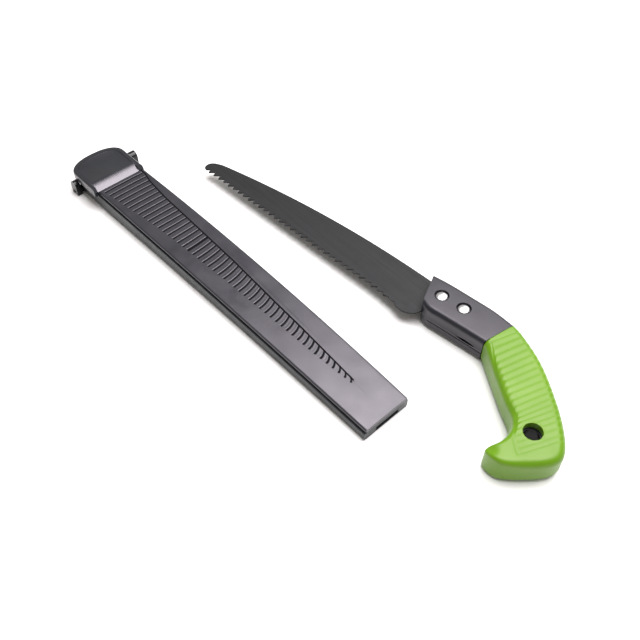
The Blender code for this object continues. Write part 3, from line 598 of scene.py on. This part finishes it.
def make_collar():
    low = MOUTH_TOP - LID_DEPTH + GAP
    levels = [(0.0, low), (0.0, COLLAR_TOP - COLLAR_RIM)]
    for a in COLLAR_RIM_ANGLES:
        levels.append((COLLAR_RIM * (1.0 - math.cos(a)), COLLAR_TOP - COLLAR_RIM * (1.0 - math.sin(a))))
    body = scratch("collar_body", *rings_mesh([collar_ring(inset, SHOULDER, z) for inset, z in levels]))
    border = ramp_profile(BORDER_RUN)
    panel_end = SHOULDER - RAMP_RUN
    panel = [collar_ring(inset, panel_end - back, COLLAR_TOP + rise) for inset, back, rise in PANEL_LEVELS]
    cutters = [
        block("throat", (-0.002, -THROAT_HALF, low - 0.002), (THROAT_STEP, THROAT_HALF, THROAT_TOP)),
        block("low_throat", (0.0, -THROAT_HALF, low - 0.002), (SHOULDER + 0.002, THROAT_HALF, THROAT_LOW)),
        side_prism("slope", ramp_profile(RAMP_RUN), RAMP_LEFT - 0.0003, RAMP_RIGHT + 0.0003),
        side_prism("far_border", border, RAMP_RIGHT, COLLAR_REACH),
        side_prism("near_border", border, -COLLAR_REACH, RAMP_LEFT),
        scratch("panel", *rings_mesh(panel)),
        drum("rivet_hole", RIVET_AT, RIVET_HOLE, THROAT_TOP - 0.002, THROAT_TOP + 0.0009, 32),
    ]
    mesh = carved(body, cutters)
    finish_piece("mouth_piece", mesh, "sheath", ["mouth_collar"], COLLAR, 32.0)


# ---------------------------------------------------------------- saw, in its own frame
# x runs towards the grip, and y towards the blade's back

THROUGH = (-0.002, 0.030)  # ends of a cutter that goes right through
BLADE_MID, BLADE_THICK, BLADE_BEVEL = 0.0125, 0.0014, 0.00025
TOOTH_START, TOOTH_END, TOOTH_COUNT = (-0.2525, -0.0128), (-0.0110, -0.0410), 34
TOOTH_DEPTH, HEEL_TEETH = 0.0040, 4.0  # the last teeth grow shallower towards the heel
# One tooth: shares of the pitch, and of the way from the tip's line to the gullet.
TOOTH = ((0.05, 1.0), (0.14, 0.5), (0.24, 0.0), (0.31, 0.0), (0.54, 0.40), (0.76, 0.76), (0.90, 1.0))
TIP_SHARE = 0.28  # a point with less than this share is on the tooth's front
GRIND, GRIND_SHIFT = 0.00045, 0.3
HEEL_Y, TANG_END, TANG_LOW, TANG_HIGH, BACK_Y = -0.0352, 0.0660, -0.0305, -0.0090, -0.0012
HEEL_RISE, BACK_RISE = -0.0062, -0.0072

HEAD_FRONT = ((0.0030, -0.0030), (0.0126, -0.0352))
HEAD_REAR = ((0.0742, -0.0390), (0.0845, -0.0085))
BOLTS = {"front": (0.0212, -0.0190), "rear": (0.0430, -0.0199)}
BOLT_HOLE, TOP_RECESS, LOW_RECESS, RECESS_FLARE, RECESS_DEPTH = 0.0037, 0.0059, 0.0062, 0.0005, 0.0030
BOLT_HEAD, BOLT_SHANK, BOLT_DOME, BOLT_SINK = 0.0053, 0.0022, 0.0018, 0.0018
DOME_ANGLES = (0.02, 0.18, 0.36, 0.54, 0.72, 0.9, 1.08, 1.26, 1.42, 1.5708)
HANDLE_TOP, HANDLE_MID, HEAD_RIM = 0.0250, 0.0125, 0.0045
HEAD_WALL = ((0.18, 0.0), (0.40, -0.0002), (0.46, 0.0001), (0.50, 0.0001), (0.54, -0.0002), (0.82, 0.0))
WINDOW_FRONT, WINDOW_REAR, WINDOW_RISE = 0.0490, 0.0670, 0.0012  # leaf-shaped slot in the near side
SIDE_GROOVE = ((-0.01, 0.0098), (0.10, 0.0086), (0.10, 0.0094), (-0.01, 0.0106))
NEAR_SIDE = -0.0450  # past the head's near side
TONGUE_HALF, TONGUE_ROOM = 0.0060, 0.0006


def head_front(y):
    """The blade's x where it meets the head's sloping front."""
    (x0, y0), (x1, y1) = HEAD_FRONT
    return x0 + (x1 - x0) * (y - y0) / (y1 - y0) - GAP


def blade_tip():
    return smooth_open([
        (-0.2465, 0.0035), (-0.2540, 0.0012), (-0.2583, -0.0022), (-0.2596, -0.0062), (-0.2584, -0.0102),
        (-0.2552, -0.0118),
    ], 5)


def teeth(side):
    """One face's tooth line; alternate teeth are ground back on each side."""
    start, end = Vector(TOOTH_START), Vector(TOOTH_END)
    pitch = (end - start) / TOOTH_COUNT
    inward = Vector((-pitch.y, pitch.x)).normalized()
    step = pitch.normalized()
    points = []
    for i in range(TOOTH_COUNT):
        depth = TOOTH_DEPTH * min(1.0, (TOOTH_COUNT - i) / HEEL_TEETH)
        ground = GRIND if (i % 2 == 0) == (side > 0) else 0.0
        for share, rise in TOOTH:
            shift = (GRIND_SHIFT if share < TIP_SHARE else -GRIND_SHIFT) * ground
            lift = depth * rise + ground * (1.0 - rise)
            points.append(tuple(start + pitch * (i + share) + inward * lift + step * shift))
    return points


def blade_ring(side, z, inset):
    """One face of the blade, with its smooth edges set in by the bevel."""
    tip, toothed = blade_tip(), teeth(side)
    heel = arc(TOOTH_END, (head_front(HEEL_Y), HEEL_Y), HEEL_RISE, 17)
    tang = [
        (head_front(TANG_LOW), TANG_LOW), (TANG_END, TANG_LOW), (TANG_END, TANG_HIGH),
        (head_front(TANG_HIGH), TANG_HIGH),
    ]
    back = arc((head_front(BACK_Y), BACK_Y), (-0.2460, 0.0036), BACK_RISE, 61)
    outline = np.array(tip + toothed + heel + tang + back[:-1])
    insets = np.full((len(outline), 1), inset)
    insets[len(tip) - 1:len(tip) + len(toothed) + 1] = 0.0
    q = outline + normals_of(outline) * insets
    return [(x, y, BLADE_MID + z) for x, y in q]


def make_blade():
    half = BLADE_THICK / 2.0
    body = scratch("blade_body", *rings_mesh([
        blade_ring(-1, -half, BLADE_BEVEL), blade_ring(-1, -half + BLADE_BEVEL, 0.0),
        blade_ring(1, half - BLADE_BEVEL, 0.0), blade_ring(1, half, BLADE_BEVEL),
    ]))
    holes = [drum(f"blade_hole_{name}", at, BOLT_HOLE, 0.0, 0.025, 32) for name, at in BOLTS.items()]
    mesh = carved(body, holes)
    finish_piece("blade", mesh, "saw", ["saw_blade"], BLADE, 25.0)


def tongue_outline():
    """The core's tongue inside the grip."""
    start = [(0.0700, -0.0125), (0.0900, -0.0180), (0.1080, -0.0300), (0.1280, -0.0490)]
    end = [(0.1450, -0.0680), (0.1585, -0.0900), (0.1500, -0.1060), (0.1370, -0.1030)]
    back = [(0.1330, -0.0830), (0.1180, -0.0690), (0.1000, -0.0520), (0.0860, -0.0400), (0.0700, -0.0330)]
    return start + end + back


def head_outline():
    """The head's outline, longer than the head at both ends, where it is cut off."""
    far = [(-0.0040, -0.0022), (0.0180, -0.0018), (0.0450, -0.0035), (0.0640, -0.0051), (0.0850, -0.0094)]
    near = [(0.0840, -0.0413), (0.0600, -0.0397), (0.0330, -0.0384), (0.0225, -0.0381)]
    corner = [(0.0200, -0.0378), (0.0160, -0.0367), (0.0120, -0.0348)]
    return [
        (-0.0200, -0.0024), *smooth_open(far, 6), (0.1000, -0.0132),
        (0.0980, -0.0430), *smooth_open(near, 5), *smooth_open(corner, 3), (-0.0100, -0.0235),
    ]


def head_cutters():
    slot = BLADE_THICK / 2.0 + GAP
    front, rear = (WINDOW_FRONT, HANDLE_MID), (WINDOW_REAR, HANDLE_MID)
    leaf = arc(front, rear, WINDOW_RISE, 13) + arc(rear, front, WINDOW_RISE, 13)[1:-1]
    cutters = [
        drum("core_hang_hole", HANG_HOLE, CORE_HOLE, 0.0, HANDLE_TOP),
        block(
            "tang_slot", (-0.004, TANG_LOW - GAP, BLADE_MID - slot),
            (TANG_END + GAP, TANG_HIGH + GAP, BLADE_MID + slot),
        ),
        side_prism("leaf", leaf, NEAR_SIDE, -0.0302),
        side_prism("side_groove", SIDE_GROOVE, NEAR_SIDE, -0.0374),
    ]
    for name, at in BOLTS.items():
        cutters += [
            drum(f"bore_{name}", at, BOLT_HOLE, -0.002, HANDLE_TOP, 48),
            drum(
                f"top_recess_{name}", at, TOP_RECESS, HANDLE_TOP - RECESS_DEPTH, HANDLE_TOP + 0.0005,
                top=TOP_RECESS + RECESS_FLARE,
            ),
            drum(f"low_recess_{name}", at, LOW_RECESS, -0.0005, RECESS_DEPTH, top=TOP_RECESS),
        ]
    return cutters


def make_head():
    rings = pillow_rings(head_outline(), HANDLE_TOP, HEAD_RIM, 8, HEAD_WALL)
    ends = [
        prism("front_cut", beyond(HEAD_FRONT, -0.12), *THROUGH),
        prism("rear_cut", beyond(HEAD_REAR, 0.12), *THROUGH),
    ]
    body = linked("head_body", carved(scratch("head_body", *rings_mesh(rings)), ends))
    tongue = prism("tongue", tongue_outline(), HANDLE_MID - TONGUE_HALF, HANDLE_MID + TONGUE_HALF)
    body = linked("head_body", carved(body, [tongue], "UNION"))
    mesh = carved(body, head_cutters())
    finish_piece("head", mesh, "saw", ["handle_core"], HEAD, 32.0)


def make_bolts():
    """Turned bolts, from (radius, height) points from the dome down."""
    top = HANDLE_TOP - BOLT_SINK
    dome = [(BOLT_HEAD * math.sin(a), top + 0.0003 + BOLT_DOME * math.cos(a)) for a in DOME_ANGLES]
    profile = [*dome, (BOLT_HEAD, top), (BOLT_SHANK, top), (BOLT_SHANK, 0.0033)]
    for name, (x, y) in BOLTS.items():
        mesh = new_mesh(f"bolt_{name}", *rings_mesh([circle(x, y, z, r, 48) for r, z in profile]))
        finish_piece(f"bolt_{name}", mesh, "saw", [f"blade_bolt_{name}"], BRIGHT, 32.0)


# ---------------------------------------------------------------- grip, in the saw's frame

GRIP_TOP, GRIP_RIM, GRIP_VOXEL = 0.0255, 0.0062, 0.00062
HOOK_TIP = np.array((0.1238, -0.1218))
HOOK_RIM_SHARE, HOOK_RIM_RUN = 0.32, 0.045  # the rim is thinner at the hook's tip
HOOK_DROOP, HOOK_DROOP_REACH = 0.0042, 0.0065  # the tip's top is lower
HANG_HOLE, GRIP_HOLE, CORE_HOLE = (0.1444, -0.0906), 0.0074, 0.0064
GRIP_RIBS, GRIP_GROOVE, BORDER_GROOVE, BORDER_SHARE = 18, 0.00030, 0.00030, 0.035
# Ends of some of the grooves, by number, along the border line and along the back.
RIB_FRONTS = (
    (0, (0.0800, -0.0375)), (3, (0.0936, -0.0545)), (5, (0.1016, -0.0640)), (9, (0.1195, -0.0785)),
    (11, (0.1285, -0.0845)), (13, (0.1325, -0.0925)), (15, (0.1368, -0.1030)), (17, (0.1440, -0.1115)),
)
RIB_BACKS = (
    (0, (0.0915, -0.0150)), (3, (0.1086, -0.0214)), (5, (0.1190, -0.0277)), (9, (0.1371, -0.0453)),
    (11, (0.1445, -0.0523)), (13, (0.1515, -0.0605)), (15, (0.1575, -0.0690)), (17, (0.1640, -0.0800)),
)


def grip_outline():
    back = [(0.0855, -0.0090), (0.0962, -0.0138), (0.1200, -0.0293), (0.1460, -0.0543), (0.1627, -0.0748)]
    butt = [(0.1710, -0.0904), (0.1705, -0.1008), (0.1630, -0.1106), (0.1494, -0.1214)]
    hook = [(0.1390, -0.1268), (0.1302, -0.1263), (0.1242, -0.1228), (0.1246, -0.1184), (0.1294, -0.1106)]
    front = [(0.1304, -0.0985), (0.1254, -0.0872), (0.1108, -0.0745), (0.0912, -0.0562), (0.0752, -0.0412)]
    return [*smooth_open(back + butt + hook + front, 6), (0.0650, -0.0330), (0.0700, -0.0060)]


def rib_ends(ends):
    """One end of every groove, from the ends of some."""
    rows = np.arange(GRIP_RIBS)
    return np.column_stack([interp([(row, p[axis]) for row, p in ends], rows) for axis in (0, 1)])


def rib_line(fronts, backs, number):
    """Front end and run of the line with a whole or broken groove number, and its lower neighbour."""
    i = np.minimum(np.floor(number).astype(int), GRIP_RIBS - 2)
    t = (number - i)[:, None]
    a = fronts[i] * (1.0 - t) + fronts[i + 1] * t
    return a, backs[i] * (1.0 - t) + backs[i + 1] * t - a, i


def off_line(p, a, d):
    """How far points lie to one side of lines, times each line's length."""
    return (p - a)[:, 0] * d[:, 1] - (p - a)[:, 1] * d[:, 0]


def nearest_line(fronts, backs, p):
    """Groove number of the closest line, in quarters, for each point."""
    numbers = np.arange(4 * (GRIP_RIBS - 1) + 1) / 4.0
    starts, runs, _ = rib_line(fronts, backs, numbers)
    best, found = np.full(len(p), np.inf), np.zeros(len(p))
    for number, a, d in zip(numbers, starts, runs):
        off = np.abs(off_line(p, a, d[None, :])) / np.linalg.norm(d)
        near = off < best
        best, found = np.where(near, off, best), np.where(near, number, found)
    return found


def rib_place(p):
    """Continuous groove number, and the share of the way from front to back, for each point."""
    fronts, backs = rib_ends(RIB_FRONTS), rib_ends(RIB_BACKS)
    number = nearest_line(fronts, backs, p)
    share = np.zeros(len(p))
    for _ in range(3):
        number = np.clip(number, 0.0, GRIP_RIBS - 1.001)
        a, d, i = rib_line(fronts, backs, number)
        share = ((p - a) * d).sum(1) / (d * d).sum(1)
        along_front, along_back = fronts[i + 1] - fronts[i], backs[i + 1] - backs[i]
        move = along_front * (1.0 - share[:, None]) + along_back * share[:, None]
        rate = move[:, 0] * d[:, 1] - move[:, 1] * d[:, 0]
        number = number + np.clip(off_line(p, a, d) / np.where(np.abs(rate) < 1e-9, 1e-9, rate), -2.0, 2.0)
    return number, share


def grip_relief(co, no):
    """Depth of the ribs and their border line at each vertex, on the two flat faces."""
    number, share = rib_place(co[:, :2])
    facing = smoothstep((np.abs(no[:, 2]) - 0.25) / 0.45)
    from_hole = np.hypot(co[:, 0] - HANG_HOLE[0], co[:, 1] - HANG_HOLE[1])
    clear = smoothstep((from_hole - GRIP_HOLE - 0.0006) / 0.0012)
    inside = smoothstep((share + 0.02) / 0.06)
    ends = smoothstep((number + 0.55) / 0.3) * smoothstep((GRIP_RIBS - 0.35 - number) / 0.3)
    ribs = GRIP_GROOVE * (0.5 - 0.5 * np.cos(2.0 * math.pi * number))
    border = BORDER_GROOVE * np.clip(1.0 - ((share + BORDER_SHARE) / BORDER_SHARE) ** 2, 0.0, 1.0)
    return (ribs * inside + border) * ends * facing * clear


def vertex_values(mesh, what):
    found = np.empty(len(mesh.vertices) * 3)
    mesh.vertices.foreach_get(what, found)
    return found.reshape(-1, 3)


def even_mesh(name, mesh):
    """The same shape in small, even faces, for the relief."""
    obj = linked(name, mesh)
    remesh = obj.modifiers.new("even", "REMESH")
    remesh.mode = "VOXEL"
    remesh.voxel_size = GRIP_VOXEL
    return settle(obj)


def make_grip():
    outline = grip_outline()
    from_tip = np.linalg.norm(np.array(outline) - HOOK_TIP, axis=1)
    rims = GRIP_RIM * np.minimum(1.0, HOOK_RIM_SHARE + from_tip / HOOK_RIM_RUN)
    body = scratch("grip_body", *rings_mesh(pillow_rings(outline, GRIP_TOP, rims, 9)))
    tongue = np.array(tongue_outline())
    room = (tongue + normals_of(tongue) * TONGUE_ROOM).tolist()
    room_half = TONGUE_HALF + TONGUE_ROOM
    mesh = even_mesh("grip_fine", carved(body, [
        prism("joint_cut", beyond([(x + GAP, y) for x, y in HEAD_REAR], -0.12), *THROUGH),
        drum("hang_hole", HANG_HOLE, GRIP_HOLE, *THROUGH),
        prism("tongue_room", room, HANDLE_MID - room_half, HANDLE_MID + room_half),
    ]))
    co, no = vertex_values(mesh, "co"), vertex_values(mesh, "normal")
    co -= no * grip_relief(co, no)[:, None]
    droop = np.exp(-(np.linalg.norm(co[:, :2] - HOOK_TIP, axis=1) / HOOK_DROOP_REACH) ** 2)
    co[:, 2] -= HOOK_DROOP * droop * smoothstep((co[:, 2] - 0.006) / 0.018)
    mesh.vertices.foreach_set("co", co.reshape(-1))
    finish_piece("grip", mesh, "saw", ["handle_grip"], GREEN, 60.0)


# ---------------------------------------------------------------- nodes that keep their CAD shape

KEPT_NODES = {
    "sheath_back_shell": BACK,
    "belt_hanger": HANGER,
    "hanger_pin": BRIGHT,
    "retaining_spring": BRIGHT,
    "spring_rivet": BRIGHT,
    "bolt_washer_front": BRIGHT,
    "bolt_washer_rear": BRIGHT,
    "sleeve_nut_front": BRIGHT,
    "sleeve_nut_rear": BRIGHT,
}


def finish_kept_nodes():
    for name, material in KEPT_NODES.items():
        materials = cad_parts[name].data.materials
        materials.clear()
        materials.append(material)


# ---------------------------------------------------------------- floor, light and camera

def make_floor():
    material, tree, shader = nodes_of("floor")
    stops = ((0.3, (0.87, 0.865, 0.86)), (0.7, (0.89, 0.885, 0.88)))
    tree.links.new(ramp(tree, noise(tree, scale=3.0, detail=2.0), stops), shader.inputs["Base Color"])
    shader.inputs["Roughness"].default_value = 0.9
    shader.inputs["Specular IOR Level"].default_value = 0.1
    half = 6.0
    corners = [(-half, -half, 0.0), (half, -half, 0.0), (half, half, 0.0), (-half, half, 0.0)]
    mesh = new_mesh("floor", corners, [(0, 1, 2, 3)])
    mesh.materials.append(material)
    obj = linked("floor", mesh)
    obj.location.z = -0.0002


def area_light(name, place, target, size, power, colour):
    data = bpy.data.lights.new(name, "AREA")
    data.shape = "RECTANGLE"
    data.size, data.size_y = size
    data.energy = power
    data.color = colour
    obj = linked(name, data)
    obj.location = place
    obj.rotation_euler = (Vector(target) - Vector(place)).to_track_quat("-Z", "Y").to_euler()


def make_light():
    area_light(
        "overhead", place=(0.09, 0.36, 1.25), target=(0.09, 0.36, 0.0), size=(1.26, 1.12), power=36.0,
        colour=(1.0, 0.985, 1.0),
    )
    area_light(
        "key", place=(-0.1, 1.1, 0.9), target=(0.0, 0.0, 0.0), size=(0.7, 0.7), power=5.0,
        colour=(1.0, 0.99, 0.98),
    )
    world = bpy.data.worlds.new("world")
    world.use_nodes = True
    background = world.node_tree.nodes["Background"]
    background.inputs["Color"].default_value = (1.0, 0.95, 0.90, 1.0)
    background.inputs["Strength"].default_value = 0.42
    bpy.context.scene.world = world


def make_camera():
    data = bpy.data.cameras.new("camera")
    data.lens = 45.0
    data.sensor_width = 36.0
    data.clip_start = 0.01
    obj = linked("camera", data)
    obj.location = SHEATH + Vector((0.6161, -0.2632, 0.520))
    obj.rotation_euler = (math.radians(40.0), 0.0, math.radians(47.35))
    bpy.context.scene.camera = obj


make_lid()
make_collar()
make_blade()
make_head()
make_grip()
make_bolts()
finish_kept_nodes()
bpy.context.scene.view_settings.view_transform = "Standard"
make_floor()
make_light()
make_camera()
